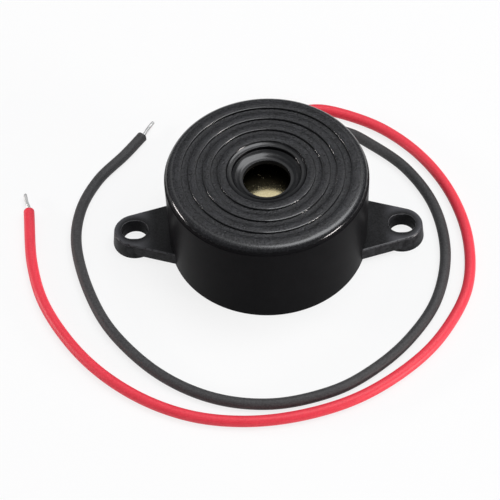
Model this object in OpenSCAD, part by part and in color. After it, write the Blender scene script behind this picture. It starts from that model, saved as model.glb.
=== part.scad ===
// Wire-lead piezo buzzer in a round moulded housing with two fixing lugs.
// Millimetres. The origin is on the mounting face at the middle of the housing,
// +X runs through the two lugs, +Y points to the side where the wires leave, and
// +Z points to the sounding face.

/* [Housing] */
// Height from the mounting face to the sounding face
body_h = 15.4; // [15.1:0.1:20]
// Diameter over the shoulder, the widest place of the round wall
body_d = 30; // [25:0.5:38]
// Radius of the rounded rim between wall and sounding face
rim_round = 1.15; // [0.6:0.05:1.3]
// How far the shoulder stands out under the rim, all round
shoulder_step = 0.1; // [0.05:0.05:0.3]
// Radius that the wall loses by its draft, from shoulder to foot
wall_draft = 0.25; // [0:0.05:0.5]
// Thickness of the wall beside the sounding disc
side_wall = 1.45; // [1.1:0.05:2]
// Thickness of the sounding face at its ridges
top_wall = 1.8; // [1.2:0.1:2.4]

/* [Rings on the sounding face] */
// Number of ring grooves
groove_count = 3; // [1:1:3]
// Distance from the housing's edge to the outermost groove
groove_margin = 2.55; // [2.2:0.05:4]
// Distance from one groove to the next
groove_pitch = 2.16; // [1.6:0.02:2.4]
// Width of a groove
groove_w = 0.93; // [0.5:0.01:1.4]
// Depth of a groove
groove_depth = 0.33; // [0.1:0.01:0.6]

/* [Dish and sound port] */
// Diameter of the sound port
port_d = 7; // [5:0.1:8]
// Height of the port's straight wall
port_wall = 0.8; // [0.5:0.1:1.2]
// Diameter of the dish round the port
dish_d = 10.16; // [9.4:0.02:11]
// Depth of the dish at its steep edge
dish_edge_depth = 1; // [0.7:0.05:1.2]
// Depth of the dish at the port
dish_depth = 1.65; // [1.3:0.05:2]
// Width of the sloping band round the dish
band_w = 0.84; // [0.4:0.02:1.1]

/* [Fixing lugs] */
// Distance from the shoulder to the middle of a fixing slot
lug_reach = 5; // [4.5:0.1:8]
// Height of the lug's upper face over the mounting face
lug_h = 2.7; // [2.2:0.1:4]
// Thickness of the lug's web
web_t = 2.05; // [1.2:0.05:2.2]
// Radius of the lug's round end at its upper face
lug_end_r = 3.05; // [2.8:0.05:4]
// Radius of the boss at the mounting face
boss_r = 3.33; // [3.2:0.01:4.4]
// Angle that each side of the lug opens towards the housing
lug_angle = 17.4; // [5:0.1:25]
// Length of the fixing slot
slot_l = 4; // [3.6:0.05:4.8]
// Width of the fixing slot
slot_w = 3.42; // [3:0.02:4]
// Depth of the slot, down to the round relief under it
slot_depth = 1.2; // [0.8:0.1:1.8]
// Diameter of the round relief under the slot
relief_d = 3.8; // [3.4:0.1:4.4]

/* [Sounding disc] */
// Height of the chamber between disc and sounding face
chamber_h = 3.25; // [2.4:0.05:3.4]
// Width of the ledge that the disc seats on
ledge_w = 1.05; // [0.6:0.05:1.6]
// Thickness of the brass disc
disc_t = 0.3; // [0.2:0.05:0.4]
// Width of the bare brass round the ceramic
bare_rim = 3.5; // [2.8:0.1:6]
// Thickness of the ceramic
ceramic_t = 0.25; // [0.15:0.05:0.3]
// Width of the silicone bead under the disc's edge
bead_w = 0.8; // [0.5:0.05:1.2]

/* [Circuit board and back cover] */
// Width of the step that the board seats on
board_step = 0.25; // [0.2:0.05:0.4]
// Thickness of the board
board_t = 1; // [0.8:0.1:1.2]
// Thickness of the cover's plate
cover_t = 1.15; // [0.8:0.05:1.6]
// How far the cover sits back from the mounting face
cover_recess = 0.15; // [0.05:0.05:0.3]
// Width of the cover's rim, which carries the board
cover_rim_w = 1; // [0.8:0.1:1.6]
// Gap all round between a piece and the bore that it drops into
fit_gap = 0.05; // [0.02:0.01:0.08]

/* [Wires] */
// Diameter over the insulation
wire_d = 1.65; // [1.2:0.05:1.9]
// Diameter of the stranded core
core_d = 0.48; // [0.3:0.02:0.6]
// Distance between the two wires where they leave the wall
wire_pitch = 2.4; // [2.2:0.1:3]

/* [Hidden] */
$fn = 96;

// Colours
black_plastic = [0.09, 0.09, 0.1];
brass_gold = [0.83, 0.68, 0.36];
ceramic_grey = [0.72, 0.71, 0.66];
silver = [0.83, 0.83, 0.82];
board_tan = [0.78, 0.6, 0.34];
copper = [0.72, 0.4, 0.2];
tin = [0.75, 0.75, 0.76];
ferrite = [0.2, 0.2, 0.21];
resin_black = [0.1, 0.1, 0.1];
silicone_white = [0.93, 0.93, 0.9];
resistor_beige = [0.85, 0.74, 0.56];
insulation_red = [0.8, 0.1, 0.16];
insulation_black = [0.1, 0.1, 0.11];
lead_colours = [[0.12, 0.12, 0.13], [0.8, 0.12, 0.12], [0.9, 0.9, 0.88]];

over = 1;                                  // how far a cut runs past the surface it opens
hair = 0.01;                               // overlap that joins two shapes of one solid
edge = 0.12;                               // rounding of the small moulded edges
foot_round = 0.2;                          // rounding at the foot of the wall
shoulder_round = 0.08;                     // rounding of the shoulder's corner

// Housing
body_r = body_d / 2;
foot_r = body_r - wall_draft;
shoulder_z = body_h - rim_round;
rim_r = body_r - shoulder_step - rim_round;

// Sounding face
port_r = port_d / 2;
dish_r = dish_d / 2;
band_r = dish_r + band_w;
step_drop = 0.15;                          // small step from the ridge to the band
band_drop = 0.35;                          // depth of the band at the dish
dish_z = body_h - dish_depth;
dish_edge_z = body_h - dish_edge_depth;
dish_curve = 3.7;                          // radius of the dish's hollow
port_bottom_z = dish_z - port_wall;
port_boss_r = band_r;                      // boss that the port goes through

// Lugs
slot_x = body_r + lug_reach;
lug_round = 0.3;                           // rounding round the upper face
lug_root_x = body_r - side_wall;           // where the web starts, inside the wall
web_z = lug_h - web_t;
boss_lip = 0.05;                           // how far the boss stands out at its top
slot_edge = 0.1;                           // rounding at the slot's mouth
slot_r = slot_w / 2;
slot_arc_x = slot_l / 2 - slot_r;

// Bores, from the sounding face down
main_bore_r = body_r - side_wall;
chamber_r = main_bore_r - ledge_w;
ceiling_z = body_h - top_wall;
ledge_z = ceiling_z - chamber_h;
low_bore_r = main_bore_r + board_step;
cover_top_z = cover_recess + cover_t;
wire_z = cover_top_z + wire_d / 2 + fit_gap / 2;
board_z = wire_z + wire_d / 2 + fit_gap / 2;
board_top_z = board_z + board_t;

// Sounding disc
disc_r = main_bore_r - fit_gap;
disc_z = ledge_z - disc_t;
ceramic_r = disc_r - bare_rim;
ceramic_z = disc_z - ceramic_t;
electrode_t = 0.05;
electrode_z = ceramic_z - electrode_t;
electrode_r = ceramic_r - 0.6;             // leaves bare ceramic outside the electrode
bead_edge = 0.1;                           // thickness of the bead where it runs out
patch_w = 3;                               // width of the feedback patch
patch_in = 5.5;                            // how far the patch reaches in
patch_gap = 0.6;                           // bare ceramic round the patch

// Board and cover
drop_r = low_bore_r - fit_gap;
hole_gap = 0.1;                            // gap between a lead and its hole

// Wire outlet: the wall's notch and the cover's tongue
channel_r = wire_d / 2 + fit_gap / 2;
notch_w = wire_pitch + 2 * channel_r;
notch_top_z = wire_z + channel_r;
tongue_gap = 0.05;

// Place on the board or the disc: its distance in from the main bore, and its angle
function inside(margin, angle) = (main_bore_r - margin) * [cos(angle), sin(angle)];

// Parts on the board
transistor_at = inside(5.2, 156);
transistor_r = 2.3;
transistor_h = 4.6;
transistor_flat = 1.25;                    // from the middle to the flat face
transistor_lift = 0.5;
leg_pitch = 1.27;
leg_w = 0.45;
choke_at = inside(5.45, 230);
choke_r = 3.5;
choke_h = 4.8;
choke_flange_t = 0.8;
choke_post_r = 1.6;
choke_coil_r = 3.1;
choke_pin_pitch = 5;
resistor_x = main_bore_r - 7.95;
resistor_y = 4.6;
resistor_pitch = 3.2;
resistor_at = [for (k = [0 : 2]) [resistor_x, resistor_y - k * resistor_pitch]];
resistor_l = 3.6;
resistor_end_r = 0.95;
resistor_mid_r = 0.8;
resistor_cap_l = 0.9;
resistor_span = 7.6;
lead_r = 0.25;
lead_bend = 0.7;
hole_r = lead_r + hole_gap;
disc_lead_top = [inside(2.15, -17), inside(5.85, -81), inside(4.9, -44)];
disc_lead_foot = [inside(1.9, -34.5), inside(2.2, -82), inside(2.2, -56)];
patch_turn = atan2(disc_lead_top[2][1], disc_lead_top[2][0]);   // the patch faces its lead
supply_pad_y = 6.2;

// Solder
joint_r = 0.6;                             // joint under the board, at its foot
joint_tip_r = 0.35;
joint_h = 0.7;
blob_r = 0.65;                             // blob on the disc
supply_blob_r = 0.85;                      // blob over a supply wire's end
supply_tip_r = 0.5;
supply_blob_h = 0.8;
solder_film = 0.05;                        // solder between a wire and its pad
lead_tail = 0.85;                          // how far leads reach under the board
lead_slack = 0.8;                          // how far a disc lead's ends rise and dip
lead_swing = 0.15;                         // share of the way over that they take

// Routes of the wires, from inside the wall to the end of the insulation
floor_z = wire_d / 2;
wire_x = wire_pitch / 2;
inner_y = 8.5;
inner_bend = 0.4;                          // step of the rise to the board
inner_tail = 0.2;                          // how far the core passes its blob
pad_z = board_z - solder_film - core_d / 2;
red_route = [
    [-wire_x, inner_y, wire_z], [-wire_x, 12, wire_z], [-wire_x, 15.6, wire_z], [-0.6, 19, 1.2],
    [2, 22.8, floor_z], [6.5, 24.8, floor_z], [11, 24.2, floor_z],
    [17.9, 20.6, floor_z], [23.7, 14.7, floor_z], [27.8, 7.1, floor_z],
    [29.8, -1.7, floor_z], [29.2, -10.7, floor_z], [25.6, -18.5, floor_z],
    [20.5, -24.6, floor_z], [13, -30, floor_z], [4.9, -33, floor_z],
    [-3.6, -34, floor_z], [-12, -32.7, floor_z], [-20, -28.7, floor_z],
    [-27.1, -22.2, floor_z], [-32.7, -13.4, floor_z], [-35.3, -4.8, floor_z],
    [-36.3, 5.9, floor_z]];
black_route = [
    [wire_x, inner_y, wire_z], [wire_x, 12, wire_z], [wire_x, 15.6, wire_z], [2.2, 18.6, 1.2],
    [4.8, 20.6, floor_z], [8.6, 21.2, floor_z], [12.2, 20.1, floor_z],
    [15.3, 18.1, floor_z], [21.1, 12.5, floor_z], [25.1, 4.8, floor_z],
    [26.3, -4.2, floor_z], [24.5, -13, floor_z], [20.2, -20.1, floor_z],
    [14.7, -25.5, floor_z], [8.5, -29.2, floor_z], [0.1, -31.1, floor_z],
    [-8.4, -29.8, floor_z], [-16.2, -25.3, floor_z], [-22.8, -18, floor_z],
    [-26.6, -10.3, floor_z], [-28.8, -1.5, floor_z], [-28.4, 5.5, floor_z],
    [-25.9, 11.5, floor_z], [-22, 16.4, floor_z], [-19.3, 20.2, floor_z]];
red_tip_route = [[-36.7, 7.5, 0.75], [-37, 8.9, 0.7]];
black_tip_route = [[-18.4, 21.9, 0.75], [-17.7, 23.1, 0.7]];
tip_start = 0.6;                           // straight start of a bared end
ring_step = 5;                             // distance between the rings of a wire
wire_sides = 8;

// ---- Helpers -------------------------------------------------------------

function unit(v) = v / norm(v);

// A point of the smooth curve through four points, from b to c as t goes 0 to 1
function between(a, b, c, d, t) =
    b + 0.5 * t * (c - a)
    + 0.5 * t * t * (2 * a - 5 * b + 4 * c - d)
    + 0.5 * t * t * t * (3 * b - 3 * c + d - a);

// The smooth curve through a route, with a point about every step
function smooth(p, step) = [
    for (i = [0 : len(p) - 2])
        let (
            n = max(1, round(norm(p[i + 1] - p[i]) / step)),
            before = i == 0 ? 2 * p[0] - p[1] : p[i - 1],
            after = i == len(p) - 2 ? 2 * p[i + 1] - p[i] : p[i + 2]
        )
        for (k = [0 : n - 1]) between(before, p[i], p[i + 1], after, k / n),
    p[len(p) - 1]];

function heading(p, i) = unit(p[min(i + 1, len(p) - 1)] - p[max(i - 1, 0)]);

// Side direction of each ring, carried from one ring to the next without twist
function ring_sides(p, i, side) =
    let (
        t = heading(p, i),
        s = unit(side - (side * t) * t)
    )
    i == len(p) - 1 ? [s] : concat([s], ring_sides(p, i + 1, s));

// A round tube along a list of points
module tube(p, r, sides = wire_sides) {
    first = abs(heading(p, 0)[2]) > 0.9 ? [1, 0, 0] : [0, 0, 1];
    s = ring_sides(p, 0, first);
    rings = [
        for (i = [0 : len(p) - 1])
            let (v = cross(heading(p, i), s[i]))
            for (k = [0 : sides - 1])
                let (a = 360 * (k + 0.5) / sides)
                p[i] + r * (cos(a) * s[i] + sin(a) * v)];
    last = (len(p) - 1) * sides;
    walls = [
        for (i = [0 : len(p) - 2], k = [0 : sides - 1])
            let (n = (k + 1) % sides)
            [i * sides + k, (i + 1) * sides + k, (i + 1) * sides + n, i * sides + n]];
    caps = [
        [for (k = [0 : sides - 1]) k],
        [for (k = [sides - 1 : -1 : 0]) last + k]];
    polyhedron(rings, concat(walls, caps));
}

// What a rounding takes off a square corner. The corner is at the origin and the
// solid lies to its left and below.
module corner_cut(r) {
    difference() {
        translate([-r, -r]) square(r + hair);
        translate([-r, -r]) circle(r);
    }
}

// ---- Housing ---------------------------------------------------------------

// Section of the housing without its hollows
module outer_section() {
    polygon([
        [0, 0], [foot_r - foot_round, 0], [foot_r, foot_round],
        [body_r, shoulder_z - shoulder_round], [body_r - shoulder_round, shoulder_z],
        [0, shoulder_z]]);
    translate([foot_r - foot_round, foot_round]) circle(foot_round);
    translate([body_r - shoulder_round, shoulder_z - shoulder_round]) circle(shoulder_round);
    square([rim_r, body_h]);
    translate([rim_r, shoulder_z]) circle(rim_round);
}

// Section of one ring groove with rounded edges
module groove_section(outer_r) {
    translate([outer_r - groove_w, body_h - groove_depth]) square([groove_w, groove_depth + over]);
    translate([outer_r - groove_w, body_h]) corner_cut(edge);
    translate([outer_r, body_h]) mirror([1, 0]) corner_cut(edge);
}

// Section of the dish and the port
module dish_section() {
    chord = [dish_r - port_r, dish_edge_z - dish_z];
    half = norm(chord) / 2;
    across = [-chord[1], chord[0]] / norm(chord);
    middle = [port_r, dish_z] + chord / 2 + across * sqrt(dish_curve * dish_curve - half * half);
    // band that falls gently to the dish
    polygon([
        [0, body_h + over], [band_r, body_h + over], [band_r, body_h - step_drop],
        [dish_r + edge, body_h - band_drop], [0, body_h - band_drop]]);
    translate([band_r, body_h]) mirror([1, 0]) corner_cut(edge / 2);
    // steep edge, rounded where it leaves the band
    translate([0, dish_edge_z]) square([dish_r, dish_edge_depth]);
    translate([dish_r, body_h - band_drop]) mirror([1, 0]) corner_cut(edge);
    // hollow that falls to the port
    intersection() {
        translate(middle) circle(dish_curve);
        translate([0, dish_z]) square([dish_r, dish_edge_depth]);
    }
    translate([0, port_bottom_z - over]) square([port_r, port_wall + 2 * over]);
    translate([port_r, dish_z]) mirror([1, 0]) corner_cut(edge / 2);
}

// Section of the hollows under the sounding face
module hollow_section() {
    difference() {
        translate([0, ledge_z - hair]) square([chamber_r, chamber_h + hair]);
        translate([0, port_bottom_z]) square([port_boss_r, body_h]);
    }
    translate([0, board_top_z - hair]) square([main_bore_r, ledge_z - board_top_z + hair]);
    translate([0, -over]) square([low_bore_r, board_top_z + over]);
}

// Section of a lug from its middle out to its edge, with the rounded upper edge
lug_section = [
    [0, web_z], [lug_end_r, web_z],
    for (a = [0 : 15 : 90])
        [lug_end_r - lug_round * (1 - cos(a)), lug_h - lug_round * (1 - sin(a))],
    [0, lug_h]];

// Web between the wall and the round end: a straight run of the section along each
// side, and a wedge between the two. The lug points along +X.
module lug_web() {
    side_l = (slot_x - lug_root_x + lug_end_r * sin(lug_angle)) / cos(lug_angle);
    wedge_half_w = (slot_x - lug_root_x) * tan(lug_angle);
    for (side = [0, 1])
        mirror([0, side, 0]) translate([slot_x, 0, 0]) rotate([90, 0, -90 - lug_angle])
            linear_extrude(side_l) mirror([1, 0]) polygon(lug_section);
    translate([0, 0, web_z]) linear_extrude(web_t) polygon([
        [slot_x, 0], [lug_root_x, wedge_half_w], [lug_root_x, -wedge_half_w]]);
}

// Round end of the web
module lug_end() {
    sector = 180 - 2 * lug_angle;
    translate([slot_x, 0, 0]) rotate([0, 0, -sector / 2])
        rotate_extrude(angle = sector) polygon(lug_section);
}

// Boss round the slot, which stands on the mounting face and narrows upwards
module lug_boss() {
    translate([slot_x, 0, 0])
        cylinder(r1 = boss_r, r2 = lug_end_r + boss_lip, h = lug_h - lug_round);
}

module fixing_slot() {
    slot_z = lug_h - slot_depth;
    translate([slot_x, 0, 0]) {
        translate([0, 0, -over]) cylinder(d = relief_d, h = slot_z + over);
        translate([-slot_arc_x, -slot_r, slot_z - hair])
            cube([2 * slot_arc_x, slot_w, slot_depth + over]);
        for (s = [-1, 1])
            translate([s * slot_arc_x, 0, slot_z - hair]) {
                cylinder(r = slot_r, h = slot_depth + over);
                translate([0, 0, slot_depth + hair]) rotate_extrude()
                    translate([slot_r, 0]) mirror([1, 0]) corner_cut(slot_edge);
            }
        for (side = [0, 1]) mirror([0, side, 0])
            translate([-slot_arc_x, slot_r, lug_h]) rotate([90, 0, 90])
                linear_extrude(2 * slot_arc_x) mirror([1, 0]) corner_cut(slot_edge);
    }
}

// Notch in the wall that the two wires and the cover's tongue fill
module wire_notch() {
    translate([-notch_w / 2, main_bore_r - over, -over])
        cube([notch_w, side_wall + 2 * over, wire_z + over]);
    translate([-wire_pitch / 2, main_bore_r - over, -over])
        cube([wire_pitch, side_wall + 2 * over, notch_top_z + over]);
    for (s = [-1, 1])
        translate([s * wire_pitch / 2, main_bore_r - over, wire_z]) rotate([-90, 0, 0])
            cylinder(r = channel_r, h = side_wall + 2 * over);
}

module housing() {
    color(black_plastic) difference() {
        union() {
            rotate_extrude() outer_section();
            for (turn = [0, 180]) rotate([0, 0, turn]) {
                lug_web();
                lug_end();
                lug_boss();
            }
        }
        rotate_extrude() {
            hollow_section();
            dish_section();
            for (i = [0 : groove_count - 1])
                groove_section(body_r - groove_margin - i * groove_pitch);
        }
        for (turn = [0, 180]) rotate([0, 0, turn]) fixing_slot();
        wire_notch();
    }
}

// ---- Back cover ------------------------------------------------------------

// Plate with a rim that presses the board up against its step. A tongue fills the
// wall's notch, and the two wires lie in its channels.
module back_cover() {
    tongue_w = notch_w - 2 * tongue_gap;
    color(black_plastic) difference() {
        union() {
            translate([0, 0, cover_recess]) cylinder(r = drop_r, h = cover_t);
            translate([0, 0, cover_recess]) difference() {
                cylinder(r = drop_r, h = board_z - cover_recess);
                translate([0, 0, cover_t]) cylinder(r = drop_r - cover_rim_w, h = board_z);
            }
            intersection() {
                translate([-tongue_w / 2, drop_r - cover_rim_w, cover_recess])
                    cube([tongue_w, side_wall + cover_rim_w, board_z - cover_recess]);
                cylinder(r = foot_r, h = board_z);
            }
        }
        for (s = [-1, 1]) translate([s * wire_pitch / 2, 0, wire_z]) {
            translate([0, drop_r - cover_rim_w - over, 0]) rotate([-90, 0, 0])
                cylinder(r = channel_r, h = side_wall + cover_rim_w + 2 * over);
            translate([-channel_r, drop_r - cover_rim_w - over, 0])
                cube([2 * channel_r, side_wall + cover_rim_w + 2 * over, board_z]);
        }
    }
}

// ---- Sounding disc -----------------------------------------------------------

module brass_disc() {
    color(brass_gold) translate([0, 0, disc_z]) cylinder(r = disc_r, h = disc_t);
}

module piezo_ceramic() {
    color(ceramic_grey) translate([0, 0, ceramic_z]) cylinder(r = ceramic_r, h = ceramic_t);
}

// Outline of the feedback patch, which comes in from the edge on the +X side
module patch_outline(grow = 0) {
    end_x = electrode_r - patch_in + patch_w / 2;
    intersection() {
        circle(electrode_r);
        union() {
            translate([end_x, 0]) circle(patch_w / 2 + grow);
            translate([end_x, -patch_w / 2 - grow]) square([patch_in, patch_w + 2 * grow]);
        }
    }
}

module main_electrode() {
    color(silver) translate([0, 0, electrode_z]) rotate([0, 0, patch_turn])
        linear_extrude(electrode_t) difference() {
            circle(electrode_r);
            patch_outline(patch_gap);
        }
}

module feedback_electrode() {
    color(silver) translate([0, 0, electrode_z]) rotate([0, 0, patch_turn])
        linear_extrude(electrode_t) patch_outline();
}

// Bead that holds the disc against the ledge, with a hollow face
module silicone_bead() {
    color(silicone_white) translate([0, 0, disc_z - bead_w]) rotate_extrude()
        difference() {
            translate([main_bore_r - bead_w, 0]) square(bead_w);
            translate([main_bore_r - bead_w, 0]) circle(bead_w - bead_edge);
        }
}

// ---- Circuit board and what stands on it -----------------------------------

// Places of all the leads that pass through the board
lead_places = concat(
    [for (k = [-1 : 1]) transistor_at + [k * leg_pitch, 0]],
    [for (s = [-1, 1]) choke_at + [s * choke_pin_pitch / 2, 0]],
    [for (at = resistor_at, s = [-1, 1]) at + [s * resistor_span / 2, 0]],
    disc_lead_foot);

module circuit_board() {
    color(board_tan) translate([0, 0, board_z]) difference() {
        cylinder(r = drop_r, h = board_t);
        for (at = lead_places)
            translate([at[0], at[1], -over]) cylinder(r = hole_r, h = board_t + 2 * over);
    }
}

// Half-round case with a flat face
module transistor_case() {
    color(resin_black) translate(concat(transistor_at, board_top_z + transistor_lift))
        linear_extrude(transistor_h) intersection() {
            circle(transistor_r);
            translate([-transistor_r, -transistor_flat]) square([2 * transistor_r, 2 * transistor_r]);
        }
}

module transistor_leg_shape(bottom_z, h) {
    for (k = [-1 : 1])
        translate([transistor_at[0] + k * leg_pitch - leg_w / 2, transistor_at[1] - leg_w / 2, bottom_z])
            cube([leg_w, leg_w, h]);
}

module transistor_legs() {
    color(tin) transistor_leg_shape(board_z - lead_tail, board_t + lead_tail + transistor_lift);
}

// Ferrite bobbin: two flanges on a post
module choke_core() {
    color(ferrite) translate(concat(choke_at, board_top_z)) {
        cylinder(r = choke_r, h = choke_flange_t);
        cylinder(r = choke_post_r, h = choke_h);
        translate([0, 0, choke_h - choke_flange_t]) cylinder(r = choke_r, h = choke_flange_t);
    }
}

module choke_winding() {
    coil_h = choke_h - 2 * choke_flange_t;
    color(copper) translate(concat(choke_at, board_top_z + choke_flange_t)) difference() {
        cylinder(r = choke_coil_r, h = coil_h);
        translate([0, 0, -over]) cylinder(r = choke_post_r, h = coil_h + 2 * over);
    }
}

module choke_pins() {
    color(tin) for (s = [-1, 1])
        translate([choke_at[0] + s * choke_pin_pitch / 2, choke_at[1], board_z - lead_tail])
            cylinder(r = lead_r, h = board_t + lead_tail);
}

// Resistor body along X, thicker over its two end caps
module resistor(at) {
    body_l = resistor_l;
    color(resistor_beige) translate([at[0] - body_l / 2, at[1], board_top_z + resistor_end_r])
        rotate([0, 90, 0]) rotate_extrude() polygon([
            [0, 0], [resistor_end_r - edge, 0], [resistor_end_r, edge],
            [resistor_end_r, resistor_cap_l - edge], [resistor_mid_r, resistor_cap_l + edge],
            [resistor_mid_r, body_l - resistor_cap_l - edge],
            [resistor_end_r, body_l - resistor_cap_l + edge],
            [resistor_end_r, body_l - edge], [resistor_end_r - edge, body_l], [0, body_l]]);
}

module resistor_1() { resistor(resistor_at[0]); }
module resistor_2() { resistor(resistor_at[1]); }
module resistor_3() { resistor(resistor_at[2]); }

// The leads run straight out of the caps, bend and pass down through the board
module resistor_leads() {
    out = resistor_span / 2;
    high = board_top_z + resistor_end_r;
    color(tin) for (at = resistor_at, s = [-1, 1])
        tube([
            [at[0] + s * resistor_l / 2, at[1], high],
            [at[0] + s * (out - lead_bend), at[1], high],
            for (a = [30, 60])
                [at[0] + s * (out - lead_bend + lead_bend * sin(a)), at[1],
                    high - lead_bend + lead_bend * cos(a)],
            [at[0] + s * out, at[1], high - lead_bend],
            [at[0] + s * out, at[1], board_z - lead_tail]], lead_r);
}

// Height of the face that each lead of the disc is soldered to
disc_face_z = [disc_z, electrode_z, electrode_z];

// Fine lead from the disc to the board, with a little slack
module disc_lead(i) {
    top = disc_lead_top[i];
    foot = disc_lead_foot[i];
    top_z = disc_face_z[i];
    slack = board_top_z + (top_z - board_top_z) / 2;
    color(lead_colours[i]) tube([
        concat(top, top_z), concat(top, top_z - blob_r), concat(top, top_z - 2 * blob_r),
        concat(top + lead_swing * (foot - top), slack + lead_slack),
        concat((top + foot) / 2, slack),
        concat(foot + lead_swing * (top - foot), slack - lead_slack),
        concat(foot, board_top_z + lead_bend),
        concat(foot, board_top_z), concat(foot, board_z - lead_tail)], lead_r);
}

module disc_lead_1() { disc_lead(0); }
module disc_lead_2() { disc_lead(1); }
module disc_lead_3() { disc_lead(2); }

// Three blobs that hold the leads on the brass, the electrode and the patch
module disc_solder() {
    color(tin) for (i = [0 : 2])
        translate(concat(disc_lead_top[i], disc_face_z[i])) difference() {
            sphere(blob_r);
            translate([-over, -over, 0]) cube(2 * over);
            translate([0, 0, -over]) cylinder(r = lead_r, h = 2 * over);
        }
}

// Joints on the underside of the board, with the wires' two flat blobs
module board_solder() {
    color(tin) {
        difference() {
            for (at = lead_places)
                translate([at[0], at[1], board_z - joint_h])
                    cylinder(r1 = joint_tip_r, r2 = joint_r, h = joint_h);
            transistor_leg_shape(board_z - lead_tail, board_t);
            for (i = [3 : len(lead_places) - 1])
                translate([lead_places[i][0], lead_places[i][1], board_z - over])
                    cylinder(r = lead_r, h = 2 * over);
        }
        for (s = [-1, 1])
            translate([s * wire_x, supply_pad_y, board_z - supply_blob_h]) difference() {
                cylinder(r1 = supply_tip_r, r2 = supply_blob_r, h = supply_blob_h);
                translate([0, over, pad_z - board_z + supply_blob_h]) rotate([90, 0, 0])
                    cylinder(d = core_d, h = 2 * over);
            }
    }
}

// ---- Wires -------------------------------------------------------------------

module red_wire() { color(insulation_red) tube(smooth(red_route, ring_step), wire_d / 2); }
module black_wire() { color(insulation_black) tube(smooth(black_route, ring_step), wire_d / 2); }

// Bared end of the core, straight out of the insulation and then as it was left
module bared_tip(route, tip) {
    path = smooth(route, ring_step);
    end = len(path) - 1;
    color(tin) tube(concat([path[end], path[end] + tip_start * heading(path, end)], tip), core_d / 2);
}

module red_wire_tip() { bared_tip(red_route, red_tip_route); }
module black_wire_tip() { bared_tip(black_route, black_tip_route); }

// Bared end inside, which rises to the board and lies along its solder pad
module inner_end(x) {
    color(tin) tube([
        [x, inner_y, wire_z], [x, inner_y - inner_bend, wire_z],
        [x, inner_y - 2 * inner_bend, (wire_z + pad_z) / 2],
        [x, inner_y - 3 * inner_bend, pad_z],
        [x, supply_pad_y - supply_blob_r - inner_tail, pad_z]], core_d / 2);
}

module red_inner_end() { inner_end(-wire_x); }
module black_inner_end() { inner_end(wire_x); }

housing();
back_cover();
brass_disc();
piezo_ceramic();
main_electrode();
feedback_electrode();
silicone_bead();
circuit_board();
transistor_case();
transistor_legs();
choke_core();
choke_winding();
choke_pins();
resistor_1();
resistor_2();
resistor_3();
resistor_leads();
disc_lead_1();
disc_lead_2();
disc_lead_3();
disc_solder();
board_solder();
red_wire();
black_wire();
red_wire_tip();
black_wire_tip();
red_inner_end();
black_inner_end();
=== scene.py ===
import math

import bpy
from mathutils import Matrix, Vector


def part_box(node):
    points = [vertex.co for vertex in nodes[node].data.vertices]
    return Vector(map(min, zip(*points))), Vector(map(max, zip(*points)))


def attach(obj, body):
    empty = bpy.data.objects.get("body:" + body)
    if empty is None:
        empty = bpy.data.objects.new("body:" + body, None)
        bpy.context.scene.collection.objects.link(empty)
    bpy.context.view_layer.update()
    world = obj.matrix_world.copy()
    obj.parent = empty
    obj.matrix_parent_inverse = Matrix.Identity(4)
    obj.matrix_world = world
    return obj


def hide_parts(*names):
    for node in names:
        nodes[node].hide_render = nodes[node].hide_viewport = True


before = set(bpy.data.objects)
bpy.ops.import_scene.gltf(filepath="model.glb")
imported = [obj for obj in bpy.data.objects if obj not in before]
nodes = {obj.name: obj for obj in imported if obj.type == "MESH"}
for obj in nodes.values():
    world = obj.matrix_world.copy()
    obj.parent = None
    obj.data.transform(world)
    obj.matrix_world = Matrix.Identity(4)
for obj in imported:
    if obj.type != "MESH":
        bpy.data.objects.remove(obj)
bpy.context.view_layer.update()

# ---- Camera ------------------------------------------------------------------
# A long lens looks down on the sounding face from the front, a little from the right, and is
# rolled a little to one side.
mm = 0.001
looking_down = math.radians(51.29)
looking_round = math.radians(1.20)
lean = math.radians(2.36)
from_base = Vector((-2.791, -1.849, 368)) * mm      # rightwards, upwards and towards the camera

towards = Vector((
    math.sin(looking_round) * math.cos(looking_down),
    -math.cos(looking_round) * math.cos(looking_down),
    math.sin(looking_down)))
level = Vector((math.cos(looking_round), math.sin(looking_round), 0))
steep = towards.cross(level)
rightwards = math.cos(lean) * level - math.sin(lean) * steep
upwards = math.sin(lean) * level + math.cos(lean) * steep
turn = Matrix((rightwards, upwards, towards)).transposed()

lens = bpy.data.cameras.new("camera")
lens.lens = 176.1
lens.clip_start = 0.02
lens.clip_end = 20
camera = bpy.data.objects.new("camera", lens)
camera.matrix_world = Matrix.Translation(turn @ from_base) @ turn.to_4x4()
bpy.context.scene.collection.objects.link(camera)
bpy.context.scene.camera = camera

# ---- Supply wires ------------------------------------------------------------
# Two single wires, each a thin tinned strand in soft PVC insulation, drawn on in one colour.
# They leave by the notch in the wall and lie loose on the table, round the front of the
# housing. Their whole length is in these routes, which are in millimetres.
wire_d = 1.65 * mm
wire_x = 1.2                               # half the distance between the wires in the notch
wire_z = 2.15                              # height of the notch's middle
lying = wire_d / 2 / mm                    # height of a wire's middle on the table
red_length = 168.3 * mm                    # whole insulation, with the stretch inside
black_length = 161.8 * mm
wire_step = 0.6 * mm
wire_sides = 40

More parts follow.
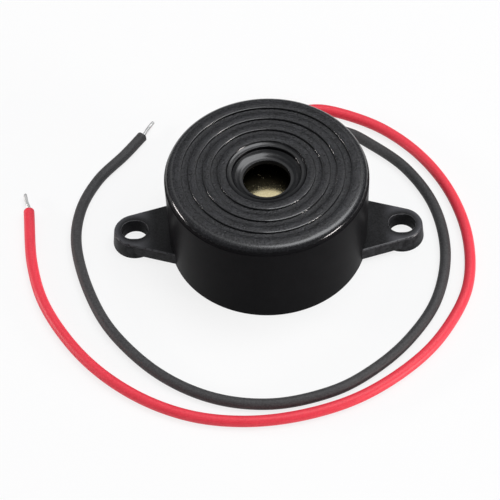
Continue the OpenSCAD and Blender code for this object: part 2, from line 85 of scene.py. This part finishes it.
red_route = [
    (-wire_x, 8.5, wire_z), (-wire_x, 12, wire_z), (-wire_x, 15.6, wire_z), (-0.6, 19, 1.2),
    (2, 22.8, lying), (6.5, 24.8, lying), (11, 24.2, lying), (17.9, 20.6, lying),
    (23.7, 14.7, lying), (27.8, 7.1, lying), (29.8, -1.7, lying), (29.2, -10.7, lying),
    (25.6, -18.5, lying), (20.5, -24.6, lying), (13, -30, lying), (4.9, -33, lying),
    (-3.6, -34, lying), (-12, -32.7, lying), (-20, -28.7, lying), (-27.1, -22.2, lying),
    (-32.7, -13.4, lying), (-35.3, -4.8, lying), (-36.3, 5.9, lying)]
black_route = [
    (wire_x, 8.5, wire_z), (wire_x, 12, wire_z), (wire_x, 15.6, wire_z), (2.2, 18.6, 1.2),
    (4.8, 20.6, lying), (8.6, 21.2, lying), (12.2, 20.1, lying), (15.3, 18.1, lying),
    (21.1, 12.5, lying), (25.1, 4.8, lying), (26.3, -4.2, lying), (24.5, -13, lying),
    (20.2, -20.1, lying), (14.7, -25.5, lying), (8.5, -29.2, lying), (0.1, -31.1, lying),
    (-8.4, -29.8, lying), (-16.2, -25.3, lying), (-22.8, -18, lying), (-26.6, -10.3, lying),
    (-28.8, -1.5, lying), (-28.4, 5.5, lying), (-25.9, 11.5, lying), (-22, 16.4, lying),
    (-19.3, 20.2, lying)]


def smooth(route, step):
    """Points about a step apart on the smooth curve through a route given in millimetres."""
    p = [Vector(q) * mm for q in route]
    p = [2 * p[0] - p[1], *p, 2 * p[-1] - p[-2]]
    points = []
    for a, b, c, d in zip(p, p[1:], p[2:], p[3:]):
        parts = max(1, round((c - b).length / step))
        for k in range(parts):
            t = k / parts
            points.append(
                b + 0.5 * t * (c - a) + 0.5 * t**2 * (2 * a - 5 * b + 4 * c - d)
                + 0.5 * t**3 * (3 * b - 3 * c + d - a))
    return [*points, p[-2]]


def sweep(name, path, rings, sides):
    """A closed skin along a path. Each ring is (point index, shift along the path, radius),
    and the last two are functions of the angle round it."""
    heads = [
        (path[min(i + 1, len(path) - 1)] - path[max(i - 1, 0)]).normalized()
        for i in range(len(path))]
    across = [heads[0].orthogonal().normalized()]
    for head in heads[1:]:
        kept = across[-1] - across[-1].dot(head) * head
        across.append(kept.normalized())
    points = []
    for i, shift, radius in rings:
        aside = heads[i].cross(across[i])
        for k in range(sides):
            a = 2 * math.pi * k / sides
            r = radius(a)
            points.append(
                path[i] + shift(a) * heads[i] + r * (math.cos(a) * across[i] + math.sin(a) * aside))
    faces = [list(range(sides - 1, -1, -1))]
    for i in range(len(rings) - 1):
        for k in range(sides):
            n = (k + 1) % sides
            faces.append([i * sides + k, i * sides + n, (i + 1) * sides + n, (i + 1) * sides + k])
    faces.append([(len(rings) - 1) * sides + k for k in range(sides)])
    mesh = bpy.data.meshes.new(name)
    mesh.from_pydata(points, [], faces)
    mesh.shade_smooth()
    mesh.update()
    skin = bpy.data.objects.new(name, mesh)
    bpy.context.scene.collection.objects.link(skin)
    return skin


def insulation(name, route, end):
    """Insulation with a flat hidden end and a cut end made of steps. A step is how far it
    stands back, its share of the radius, and how uneven it is."""
    path = smooth(route, wire_step)
    r = wire_d / 2
    last = len(path) - 1
    rings = [(i, lambda a: 0, lambda a: r) for i in range(last)]
    for back, share, uneven in end:
        rings.append((
            last,
            lambda a, b=back, u=uneven: (u * (math.sin(2 * a + 1) + math.sin(5 * a)) / 2 - b) * mm,
            lambda a, s=share: s * r))
    return sweep(name, path, rings, wire_sides), path


# The red end is drawn in and round, as a warm stripper leaves it; the black one is cut square.
round_end = [
    (0.42, 1, 0), (0.3, 0.985, 0), (0.16, 0.93, 0.01), (0.06, 0.84, 0.02), (0, 0.7, 0.03),
    (0, 0.5, 0.03), (0.08, 0.33, 0.01), (0.3, 0.27, 0)]
square_end = [
    (0.5, 1.0, 0), (0.2, 1.015, 0), (0.06, 1.03, 0.04), (0, 0.99, 0.07), (0.01, 0.8, 0.08),
    (0.05, 0.45, 0.05), (0.12, 0.33, 0.02), (0.3, 0.27, 0)]
red_insulation, red_path = insulation("red_insulation", red_route, round_end)
black_insulation, black_path = insulation("black_insulation", black_route, square_end)


def fill(tree, place, value):
    """Links a socket to an input, or sets the input to a plain value."""
    if isinstance(value, bpy.types.NodeSocket):
        tree.links.new(value, place)
    else:
        place.default_value = value


def node(tree, kind, settings=None, **inputs):
    """A shader node. Settings are its own properties; inputs are values or sockets by name."""
    new = tree.nodes.new("ShaderNode" + kind)
    for key, value in (settings or {}).items():
        setattr(new, key, value)
    for key, value in inputs.items():
        key = key.replace("_", " ")
        fill(tree, new.inputs[int(key) if key.isdigit() else key], value)
    return new


def calc(tree, operation, first, second=0.0):
    """The result of a sum on one or two values."""
    return node(tree, "Math", {"operation": operation}, **{"0": first, "1": second}).outputs[0]


def ramp(tree, value, start, end, low=0.0, high=1.0, kind="LINEAR"):
    """Climbs from low to high while the value goes from start to end, and stays there."""
    return node(
        tree, "MapRange", {"interpolation_type": kind}, Value=value,
        **{"1": start, "2": end, "3": low, "4": high}).outputs[0]


def blend(tree, share, first, second):
    """The first colour where the share is 0, and the second where it is 1."""
    return node(
        tree, "Mix", {"data_type": "RGBA"}, **{"0": share, "6": first, "7": second}).outputs[2]


def in_mm(tree):
    """A point's place on its object, in millimetres."""
    place = node(tree, "TexCoord").outputs["Object"]
    return node(tree, "VectorMath", {"operation": "SCALE"}, Vector=place, Scale=1 / mm).outputs[0]


def effect(name, inputs, outputs):
    """A node group with these named sockets. Gives the group, its inputs and its outputs."""
    group = bpy.data.node_groups.new(name, "ShaderNodeTree")
    for side, sockets in (("INPUT", inputs), ("OUTPUT", outputs)):
        for label, kind in sockets.items():
            group.interface.new_socket(label, in_out=side, socket_type="NodeSocket" + kind)
    given = group.nodes.new("NodeGroupInput").outputs
    gives = group.nodes.new("NodeGroupOutput").inputs
    return group, given, gives


# Skin shared by every moulded, drawn, cast or rolled piece: cloudy shading, fine grain, the
# bump that the grain gives, and rings of tool marks round the middle. Grain and cloud are how
# many millimetres one patch measures, and depth is the height of the bump in millimetres.
cloud_part = 0.25                          # share of the clouds in the shading; the rest is grain
skin, given, gives = effect(
    "grained_skin",
    {"Colour": "Color", "Lift": "Color", "Grain": "Float", "Cloud": "Float",
     "Low roughness": "Float", "High roughness": "Float", "Depth": "Float", "Rings": "Float"},
    {"Colour": "Color", "Roughness": "Float", "Normal": "Vector"})
spot = in_mm(skin)
fine = node(
    skin, "TexNoise", Vector=spot, Scale=calc(skin, "DIVIDE", 1.0, given["Grain"]),
    Detail=3.0, Roughness=0.6).outputs[0]
broad = node(
    skin, "TexNoise", Vector=spot, Scale=calc(skin, "DIVIDE", 1.0, given["Cloud"]),
    Detail=4.0, Roughness=0.55).outputs[0]
both = node(
    skin, "Mix", {"data_type": "FLOAT"}, **{"0": cloud_part, "2": fine, "3": broad}).outputs[0]
shade = blend(skin, ramp(skin, both, start=0.4, end=0.6), given["Colour"], given["Lift"])
rough = ramp(
    skin, fine, start=0.3, end=0.7, low=given["Low roughness"], high=given["High roughness"])
turned = node(
    skin, "TexWave", {"wave_type": "RINGS", "rings_direction": "Z"}, Vector=spot, Scale=0.4,
    Distortion=1.5, Detail=3.0, Detail_Scale=0.6).outputs["Fac"]
height = calc(skin, "ADD", fine, calc(skin, "MULTIPLY", turned, given["Rings"]))
relief = node(
    skin, "Bump", Distance=calc(skin, "MULTIPLY", given["Depth"], mm), Height=height).outputs[0]
for label, value in (("Colour", shade), ("Roughness", rough), ("Normal", relief)):
    fill(skin, gives[label], value)


def feed(material, name, value):
    """Links or sets an input of a material's own shader."""
    tree = material.node_tree
    fill(tree, tree.nodes["Principled BSDF"].inputs[name], value)


def fed(material, name):
    """The socket that is linked to an input of a material's own shader."""
    return material.node_tree.nodes["Principled BSDF"].inputs[name].links[0].from_socket


def grained(name, colour, lift, grain, cloud, roughness, depth, gloss=0.5, rings=0.0):
    """A material from the shared skin. Roughness is (smoothest, roughest)."""
    material = bpy.data.materials.new(name)
    material.use_nodes = True
    made = node(
        material.node_tree, "Group", {"node_tree": skin}, Colour=(*colour, 1), Lift=(*lift, 1),
        Grain=grain, Cloud=cloud, Low_roughness=roughness[0], High_roughness=roughness[1],
        Depth=depth, Rings=rings).outputs
    feed(material, "Base Color", made["Colour"])
    feed(material, "Roughness", made["Roughness"])
    feed(material, "Normal", made["Normal"])
    feed(material, "Specular IOR Level", gloss)
    return material


def dress(obj, *materials):
    """Gives an object these materials in place of those it has."""
    obj.data.materials.clear()
    for material in materials:
        obj.data.materials.append(material)


dress(red_insulation, grained(
    "red_pvc", colour=(0.78, 0.036, 0.06), lift=(0.85, 0.048, 0.076), grain=0.25, cloud=5,
    roughness=(0.4, 0.52), depth=0.006, gloss=0.4))
dress(black_insulation, grained(
    "black_pvc", colour=(0.042, 0.041, 0.042), lift=(0.066, 0.065, 0.066), grain=0.25, cloud=5,
    roughness=(0.5, 0.62), depth=0.008, gloss=0.25))

# ---- Bared ends --------------------------------------------------------------
# Seven fine strands, six round a middle one, twisted and tinned together, stick out of the
# insulation. The tin fills the gaps, so that only shallow spiral furrows show.
strand_r = 0.28 * mm
strand_twist = 7.0 * mm                    # length of one full turn of the strands
outer_strands = 6
furrow = 0.025                             # depth of a furrow, as a share of the radius
inside_wire = 0.5 * mm                     # how far inside the insulation an end starts
straight_out = 0.6 * mm                    # how far it goes on straight ahead
strand_step = 0.12 * mm
strand_sides = 36
cut_bulge = 0.06 * mm                      # how far the middle of the cut stands out
cut_share = 0.82                           # radius of the cut's flat, as a share of the whole


def bared(name, insulated, tip, lean_back):
    """Twisted end that starts inside the insulation and is cut off at a slant. Tip and lean
    back are in millimetres."""
    mouth = insulated[-1]
    head = (mouth - insulated[-2]).normalized()
    marks = [mouth - inside_wire * head, mouth, mouth + straight_out * head]
    path = smooth([*(tuple(mark / mm) for mark in marks), *tip], strand_step)
    last = len(path) - 1
    run = 0
    rings = []
    for i, point in enumerate(path):
        run += (point - path[i - 1]).length if i else 0
        rings.append((
            i,
            lambda a, slant=(lean_back * mm if i == last else 0): slant * math.cos(a),
            lambda a, spiral=(2 * math.pi * run / strand_twist): strand_r * (
                1 - furrow * (1 + math.cos(outer_strands * (a - spiral))) / 2)))
    rings.append((
        last,
        lambda a: cut_bulge + 0.8 * lean_back * mm * math.cos(a),
        lambda a: cut_share * strand_r))
    return sweep(name, path, rings, strand_sides)


red_bared = bared("red_bared_end", red_path, [(-36.7, 7.5, 0.75), (-37, 8.9, 0.7)], 0.16)
black_bared = bared("black_bared_end", black_path, [(-18.4, 21.9, 0.75), (-17.7, 23.1, 0.7)], 0.05)


def metal(name, colour, lift, grain, cloud, roughness, depth):
    """A metal with the shared skin."""
    material = grained(name, colour, lift, grain, cloud, roughness, depth)
    feed(material, "Metallic", 1.0)
    return material


tinned = metal(
    "tinned_strands", colour=(0.62, 0.62, 0.61), lift=(0.74, 0.74, 0.73), grain=0.12, cloud=1.5,
    roughness=(0.45, 0.6), depth=0.01)
for wire, slot, end, path, cad_wire, cad_end, whole in (
        (red_insulation, "red_insulation", red_bared, red_path,
         "red_wire", "red_wire_tip", red_length),
        (black_insulation, "black_insulation", black_bared, black_path,
         "black_wire", "black_wire_tip", black_length)):
    dress(end, tinned)
    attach(wire, "root")
    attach(end, "root")
    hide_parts(cad_wire)
    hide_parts(cad_end)

# ---- Housing -----------------------------------------------------------------
# One injection moulding in black ABS: a cup with two fixing lugs, open at the back. The
# mould was spark-eroded for the sounding face, ground for the wall and polished for the
# rim and the dish, so that each has its own sheen.
housing = nodes["housing"]
face_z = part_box("housing")[1].z
wall_r = 15 * mm
port_bottom_z = 12.95 * mm
port_r = 3.6 * mm
band_r = 5.92 * mm                         # outside of the band that falls into the dish
edge_round = 0.12 * mm
rim_r = 13.75 * mm                         # where the ridges end and the plain rim starts
groove_depth = 0.33 * mm
polish_start = 0.22 * mm                   # how far down from the face the high polish starts
polish_end = 0.62 * mm                     # and where the ground wall takes over
slot_x = 20 * mm
slot_r = 2.15 * mm
near = 0.05 * mm                           # tolerance in telling one face from another
flat = 0.98                                # a level face's normal points up more than this,
tilted = 0.7                               # a steep one's inside the dish less than this,
upright = 0.2                              # and a wall's less than this

abs_black = (0.004, 0.004, 0.0046)
abs_grey = (0.012, 0.012, 0.0135)
finishes = {
    "wall": grained(
        "wall_abs", colour=(0.006, 0.006, 0.0066), lift=(0.0095, 0.0095, 0.0104), grain=0.12,
        cloud=3, roughness=(0.3, 0.4), depth=0.002, gloss=0.015),
    "steep": grained(
        "steep_abs", colour=(0.001, 0.001, 0.0012), lift=(0.005, 0.005, 0.006), grain=0.2,
        cloud=2, roughness=(0.4, 0.5), depth=0.005, gloss=0.1),
    "bore": grained(
        "bore_abs", colour=(0.012, 0.012, 0.014), lift=(0.024, 0.024, 0.027), grain=0.2,
        cloud=2, roughness=(0.5, 0.6), depth=0.005, gloss=0.04),
    "face": grained(
        "face_abs", colour=(0.001, 0.001, 0.0013), lift=(0.021, 0.021, 0.0242), grain=0.3,
        cloud=2, roughness=(0.26, 0.38), depth=0.12, gloss=0.42),
    "rim": grained(
        "rim_abs", colour=(0.005, 0.005, 0.0057), lift=(0.016, 0.016, 0.0183), grain=0.3,
        cloud=3, roughness=(0.22, 0.3), depth=0.008, gloss=0.75),
    "shoulder": grained(
        "shoulder_abs", colour=abs_black, lift=abs_grey, grain=0.3,
        cloud=3, roughness=(0.14, 0.16), depth=0.001, gloss=0.4),
    # The groove walls and the roundings of their edges are coloured darker than the face: painted
    # shade.
    "edge": grained(
        "edge_abs", colour=(0.001, 0.001, 0.0012), lift=(0.004, 0.004, 0.0046), grain=0.3,
        cloud=3, roughness=(0.14, 0.2), depth=0.002, gloss=1.0),
    "dish": grained(
        "dish_abs", colour=(0.001, 0.001, 0.0012), lift=(0.006, 0.006, 0.007), grain=0.3,
        cloud=3, roughness=(0.19, 0.24), depth=0.002, gloss=0.6, rings=16),
    "lug": grained(
        "lug_abs", colour=(0.002, 0.002, 0.0023), lift=(0.012, 0.012, 0.0135), grain=0.24,
        cloud=2, roughness=(0.3, 0.4), depth=0.02, gloss=0.2),
    "lug_side": grained(
        "lug_side_abs", colour=(0.008, 0.008, 0.009), lift=(0.03, 0.03, 0.033), grain=0.7,
        cloud=1.5, roughness=(0.4, 0.5), depth=0.05, gloss=0.1),
    # The lugs' rounded edges are coloured much lighter than their tops: painted highlight.
    "lug_edge": grained(
        "lug_edge_highlight_abs", colour=(0.035, 0.035, 0.038), lift=(0.065, 0.065, 0.07), grain=0.5,
        cloud=2, roughness=(0.24, 0.34), depth=0.02)}
dress(housing, *finishes.values())


def emboss(material, height, rise):
    """Adds a relief to the one that a material has. Rise is what a height of 1 stands up."""
    lifted = node(
        material.node_tree, "Bump", Distance=rise, Height=height, Normal=fed(material, "Normal"))
    feed(material, "Normal", lifted.outputs[0])


def from_middle(tree, x, y):
    """How far the point (x, y) lies from (0, 0)."""
    point = node(tree, "CombineXYZ", X=x, Y=y).outputs[0]
    return node(tree, "VectorMath", {"operation": "LENGTH"}, Vector=point).outputs["Value"]


def tint(material, share, colour):
    """Blends a colour into the one that a material has."""
    own = fed(material, "Base Color")
    feed(material, "Base Color", blend(material.node_tree, share, own, (*colour, 1)))


wave_unit = math.pi / 10                   # a wave texture's scale for one wave in a unit of length


def crown(material, pitch, crest, rise):
    """Bends the ridges up and the floors of the grooves down, in waves round the middle. The
    crest is one ridge's radius. Lengths are in millimetres."""
    tree = material.node_tree
    waves = node(
        tree, "TexWave", {"wave_type": "RINGS", "rings_direction": "Z"}, Vector=in_mm(tree),
        Scale=wave_unit / pitch, Distortion=0.0, Phase_Offset=math.pi * (1 - 2 * crest / pitch))
    emboss(material, waves.outputs["Fac"], 2 * rise * mm)


def step_down(material, radius, width, drop):
    """Adds a fine step that falls towards the middle. Lengths are in millimetres."""
    tree = material.node_tree
    place = node(tree, "SeparateXYZ", Vector=in_mm(tree)).outputs
    away = from_middle(tree, place[0], place[1])
    emboss(material, ramp(tree, away, radius - width, radius), drop * mm)


def paint_lug_end_highlight(material, colour, inner, outer):
    """Lightens a lug's end round its slot, from one distance to another from the middle of its
    slot: painted highlight. Distances are in millimetres."""
    tree = material.node_tree
    place = node(tree, "SeparateXYZ", Vector=in_mm(tree)).outputs
    past_slot = calc(tree, "SUBTRACT", calc(tree, "ABSOLUTE", place[0]), slot_x / mm)
    away = from_middle(tree, past_slot, place[1])
    round_slot = ramp(tree, away, inner, outer, kind="SMOOTHSTEP")
    outwards = ramp(tree, past_slot, -outer, 0.0, kind="SMOOTHSTEP")
    tint(material, calc(tree, "MULTIPLY", round_slot, outwards), colour)


crown(finishes["face"], pitch=2.16, crest=8.745, rise=0.055)
step_down(finishes["dish"], radius=5.9, width=0.14, drop=0.14)
# Painted highlight: the lugs' ends round the slots are coloured lighter.
paint_lug_end_highlight(finishes["lug"], (0.09, 0.09, 0.098), inner=1.9, outer=3.2)


def finish_of(middle, normal):
    """Which finish the surface has at a point of the housing: the mould's own, with painted shade
    on the groove edges and a painted highlight on the lugs' edges.
    """
    r = math.hypot(middle.x, middle.y)
    if r < band_r + edge_round and middle.z > port_bottom_z - near:
        if normal.z < tilted:
            return "bore" if r < port_r else "steep"
        if r < band_r + near:
            return "dish"
    if r < rim_r and middle.z > face_z - groove_depth - near:
        return "face" if normal.z > flat else "edge"
    if middle.z > face_z - polish_start:
        return "rim"
    if middle.z > face_z - polish_end:
        return "shoulder"
    if math.hypot(abs(middle.x) - slot_x, middle.y) < slot_r and normal.z < upright:
        return "bore"
    if r > wall_r + near:
        return "lug" if normal.z > flat else "lug_edge" if normal.z > upright else "lug_side"
    return "wall"


order = list(finishes)
for face in housing.data.polygons:
    face.material_index = order.index(finish_of(face.center, face.normal))

# ---- Sounding disc -----------------------------------------------------------
# A thin disc of rolled brass, bright and a little dusty under the port. It seats against a
# ledge in the housing, and bows when the ceramic bonded under it grows and shrinks.
disc_brass = metal(
    "disc_brass", colour=(0.72, 0.6, 0.33), lift=(0.87, 0.78, 0.5), grain=0.22, cloud=2,
    roughness=(0.08, 0.24), depth=0.004)
largest_speck = 0.2                        # its radius, as a share of a cell of the pattern


def dust(material, cells_per_mm, amount, colour):
    """Adds small matt specks of dust to a metal. Amount is the share of cells with a speck."""
    tree = material.node_tree
    cells = node(tree, "TexVoronoi", Vector=in_mm(tree), Scale=cells_per_mm).outputs
    chance = node(tree, "SeparateColor", Color=cells["Color"]).outputs[0]
    size = ramp(tree, chance, 1 - amount, 1.0, 0.0, largest_speck)
    speck = calc(tree, "LESS_THAN", cells["Distance"], size)
    tint(material, speck, colour)
    feed(material, "Metallic", calc(tree, "SUBTRACT", 1.0, speck))


dust(disc_brass, cells_per_mm=4, amount=0.22, colour=(0.5, 0.45, 0.3))
dress(nodes["brass_disc"], disc_brass)

# ---- Ceramic and its electrodes ----------------------------------------------
# A wafer of sintered piezo ceramic, bonded to the brass. Its free face carries fired silver:
# one wide electrode, and a small patch that feeds the tone back to the transistor.
dress(nodes["piezo_ceramic"], grained(
    "fired_ceramic", colour=(0.6, 0.57, 0.5), lift=(0.68, 0.65, 0.58), grain=0.1, cloud=4,
    roughness=(0.6, 0.75), depth=0.02))
fired_silver = metal(
    "fired_silver", colour=(0.74, 0.73, 0.7), lift=(0.84, 0.83, 0.8), grain=0.08, cloud=3,
    roughness=(0.35, 0.5), depth=0.015)
for name in ("main_electrode", "feedback_electrode"):
    dress(nodes[name], fired_silver)

# ---- Silicone bead -----------------------------------------------------------
# Silicone run in round the disc's edge after the disc is dropped on its ledge. It holds the
# disc and still lets it move.
silicone = grained(
    "cured_silicone", colour=(0.82, 0.82, 0.78), lift=(0.9, 0.9, 0.87), grain=0.6, cloud=3,
    roughness=(0.3, 0.4), depth=0.005)
feed(silicone, "Subsurface Weight", 0.2)
feed(silicone, "Subsurface Scale", 0.5 * mm)
dress(nodes["silicone_bead"], silicone)

# ---- Circuit board -----------------------------------------------------------
# A round single-sided board punched from paper phenolic, with the parts on its upper side
# and the solder below. It seats against a step in the bore.
dress(nodes["circuit_board"], grained(
    "paper_phenolic", colour=(0.5, 0.3, 0.12), lift=(0.62, 0.41, 0.19), grain=0.35, cloud=1.2,
    roughness=(0.4, 0.55), depth=0.012))

# ---- Transistor --------------------------------------------------------------
# The driving transistor: a half-round case of black moulded epoxy with a flat face, on
# three square legs of tinned iron.
dress(nodes["transistor_case"], grained(
    "moulded_epoxy", colour=(0.012, 0.012, 0.012), lift=(0.03, 0.03, 0.03), grain=0.1, cloud=2,
    roughness=(0.5, 0.65), depth=0.02))
tinned_lead = metal(
    "tinned_lead", colour=(0.6, 0.6, 0.59), lift=(0.74, 0.74, 0.73), grain=0.15, cloud=1.5,
    roughness=(0.25, 0.4), depth=0.008)
dress(nodes["transistor_legs"], tinned_lead)

# ---- Choke -------------------------------------------------------------------
# A ferrite bobbin on two pins, wound with fine enamelled copper wire. The winding is one
# ring, with its turns in the surface.
dress(nodes["choke_core"], grained(
    "sintered_ferrite", colour=(0.03, 0.03, 0.032), lift=(0.06, 0.06, 0.062), grain=0.08,
    cloud=1, roughness=(0.45, 0.6), depth=0.025))
dress(nodes["choke_pins"], tinned_lead)
enamelled_copper = metal(
    "enamelled_copper", colour=(0.6, 0.24, 0.1), lift=(0.72, 0.33, 0.15), grain=0.2, cloud=2,
    roughness=(0.2, 0.3), depth=0.005)
turn_height = 0.05 * mm                    # how far each turn of wire stands out


def wind(material, turns_per_mm, furrow_shade):
    """Gives a material the turns of a coil, as bands up the coil with painted shade in the furrows.
    """
    tree = material.node_tree
    turns = node(
        tree, "TexWave", {"wave_type": "BANDS", "bands_direction": "Z"}, Vector=in_mm(tree),
        Scale=wave_unit * turns_per_mm, Distortion=0.4, Detail=1.0).outputs["Fac"]
    # Painted shade: the furrows between the turns are coloured darker.
    tint(material, calc(tree, "SUBTRACT", 1.0, turns), furrow_shade)
    raised = node(tree, "Bump", Strength=0.6, Distance=turn_height, Height=turns)
    feed(material, "Normal", raised.outputs[0])


wind(enamelled_copper, turns_per_mm=8, furrow_shade=(0.16, 0.05, 0.02))
dress(nodes["choke_winding"], enamelled_copper)

# ---- Resistors ---------------------------------------------------------------
# Three carbon film resistors: a ceramic rod with a pressed cap at each end, dipped in beige
# lacquer and banded by its value. Their tinned leads bend down through the board.
brown = (0.12, 0.04, 0.015)
black = (0.01, 0.01, 0.01)
red = (0.5, 0.02, 0.02)
orange = (0.75, 0.2, 0.02)
gold = (0.55, 0.38, 0.12)
resistor_low, resistor_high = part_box("resistor_1")
first_band = (resistor_low.x + resistor_high.x) / 2 / mm - 1.25    # along X, in millimetres
band_pitch = 0.75
band_width = 0.3
band_names = ("Band 1", "Band 2", "Band 3", "Band 4")

# Bands of colour across a rod that lies along X, over the lacquer's own colour. The three
# rods lie side by side, so that their bands are at the same X.
banding, given, gives = effect(
    "colour_bands", {"Lacquer": "Color", **{name: "Color" for name in band_names}},
    {"Colour": "Color"})
along = node(banding, "SeparateXYZ", Vector=in_mm(banding)).outputs[0]
seen = given["Lacquer"]
for k, name in enumerate(band_names):
    off = calc(banding, "ABSOLUTE", calc(banding, "SUBTRACT", along, first_band + k * band_pitch))
    seen = blend(banding, calc(banding, "LESS_THAN", off, band_width / 2), seen, given[name])
fill(banding, gives["Colour"], seen)

for name, colours in (
        ("resistor_1", (brown, black, orange, gold)),
        ("resistor_2", (red, red, red, gold)),
        ("resistor_3", (brown, black, brown, gold))):
    lacquer = grained(
        name + "_lacquer", colour=(0.6, 0.44, 0.26), lift=(0.7, 0.53, 0.34), grain=0.3, cloud=2,
        roughness=(0.25, 0.35), depth=0.008)
    bands = node(
        lacquer.node_tree, "Group", {"node_tree": banding}, Lacquer=fed(lacquer, "Base Color"),
        **{band: (*colour, 1) for band, colour in zip(band_names, colours)})
    feed(lacquer, "Base Color", bands.outputs["Colour"])
    dress(nodes[name], lacquer)
dress(nodes["resistor_leads"], tinned_lead)

# ---- Leads of the disc -------------------------------------------------------
# Three fine insulated leads hang with some slack between the disc and the board, so that
# they don't hold the disc still: black to the brass, red to the silver, white to the patch.
for name, colour in (
        ("disc_lead_1", (0.02, 0.02, 0.021)), ("disc_lead_2", (0.55, 0.02, 0.03)),
        ("disc_lead_3", (0.75, 0.75, 0.72))):
    dress(nodes[name], grained(
        name + "_pvc", colour=colour, lift=[1.15 * c for c in colour], grain=0.15, cloud=2,
        roughness=(0.4, 0.5), depth=0.008))

# ---- Solder and inner ends ---------------------------------------------------
# Bright tin solder under the board and on the disc. The two supply wires' bared ends lie
# along their pads under the board, inside the two large joints.
solder = metal(
    "tin_solder", colour=(0.66, 0.66, 0.66), lift=(0.78, 0.78, 0.78), grain=0.5, cloud=2,
    roughness=(0.12, 0.25), depth=0.005)
for name in ("disc_solder", "board_solder"):
    dress(nodes[name], solder)
for name in ("red_inner_end", "black_inner_end"):
    dress(nodes[name], tinned)

# ---- Back cover --------------------------------------------------------------
# A moulded plate that snaps into the back of the housing. Its rim presses the board up
# against its step, and its tongue holds the two wires in the wall's notch.
dress(nodes["back_cover"], grained(
    "cover_abs", colour=abs_black, lift=abs_grey, grain=0.14, cloud=2, roughness=(0.42, 0.55),
    depth=0.02))

# ---- Table and light ---------------------------------------------------------
# A plain matt white table under soft studio lights, in a pale room. To the camera and in
# reflections the table shines nearly white by itself, and the shadow still falls on it.
table_half = 1.5
own_shine = 0.8                            # share of the table's look that is its own shine
table_mesh = bpy.data.meshes.new("table")
table_mesh.from_pydata(
    [(x * table_half, y * table_half, 0) for x, y in ((-1, -1), (1, -1), (1, 1), (-1, 1))],
    [], [(0, 1, 2, 3)])
table = bpy.data.objects.new("table", table_mesh)
bpy.context.scene.collection.objects.link(table)
table_white = bpy.data.materials.new("table_white")
table_white.use_nodes = True
feed(table_white, "Base Color", (0.88, 0.88, 0.88, 1))
feed(table_white, "Roughness", 0.9)
feed(table_white, "Specular IOR Level", 0.1)
white = table_white.node_tree
looks = node(white, "LightPath").outputs
looked_at = calc(
    white, "MAXIMUM", calc(white, "MAXIMUM", looks["Is Camera Ray"], looks["Is Glossy Ray"]),
    looks["Is Transmission Ray"])
glow = node(white, "Emission", Color=(1, 1, 1, 1), Strength=1.0)
whitened = node(white, "MixShader", **{
    "0": calc(white, "MULTIPLY", looked_at, own_shine),
    "1": white.nodes["Principled BSDF"].outputs[0], "2": glow.outputs[0]})
fill(white, white.nodes["Material Output"].inputs["Surface"], whitened.outputs[0])
dress(table, table_white)

housing_middle = Vector((0, 0, 8)) * mm
warm = (1, 0.94, 0.92)
cool = (0.97, 0.98, 1)


def softbox(name, azimuth, elevation, distance, size, power, colour=(1, 1, 1)):
    """An area light that faces the housing."""
    lamp = bpy.data.lights.new(name, "AREA")
    lamp.shape = "RECTANGLE"
    lamp.size, lamp.size_y = size
    lamp.energy = power
    lamp.color = colour
    light = bpy.data.objects.new(name, lamp)
    a, e = math.radians(azimuth), math.radians(elevation)
    aim = Vector((math.cos(a) * math.cos(e), math.sin(a) * math.cos(e), math.sin(e)))
    light.location = aim * distance + housing_middle
    light.rotation_mode = "QUATERNION"
    light.rotation_quaternion = aim.to_track_quat("Z", "Y")
    bpy.context.scene.collection.objects.link(light)


softbox("key_light", 20, 69, distance=0.6, size=(0.36, 0.46), power=2.1, colour=cool)
softbox("wide_light", 20, 70, distance=0.6, size=(0.8, 0.8), power=0.7)
softbox("low_right_light", -26, 9, distance=0.5, size=(0.15, 0.06), power=1.4, colour=warm)
softbox("low_left_light", 173, 11, distance=0.5, size=(0.15, 0.045), power=1.0, colour=warm)
softbox("back_light", 93, 50, distance=0.6, size=(0.54, 0.24), power=0.19)

# The room is darker near the horizon than overhead.
world = bpy.data.worlds.new("studio")
bpy.context.scene.world = world
world.use_nodes = True
room = world.node_tree
surround = room.nodes["Background"].inputs
up = node(room, "SeparateXYZ", Vector=node(room, "TexCoord").outputs["Generated"]).outputs[2]
fill(room, surround["Strength"], ramp(room, up, start=0.0, end=0.5, low=0.1, high=0.3))
fill(room, surround["Color"], (0.93, 0.96, 1, 1))

bpy.context.scene.view_settings.view_transform = "Standard"
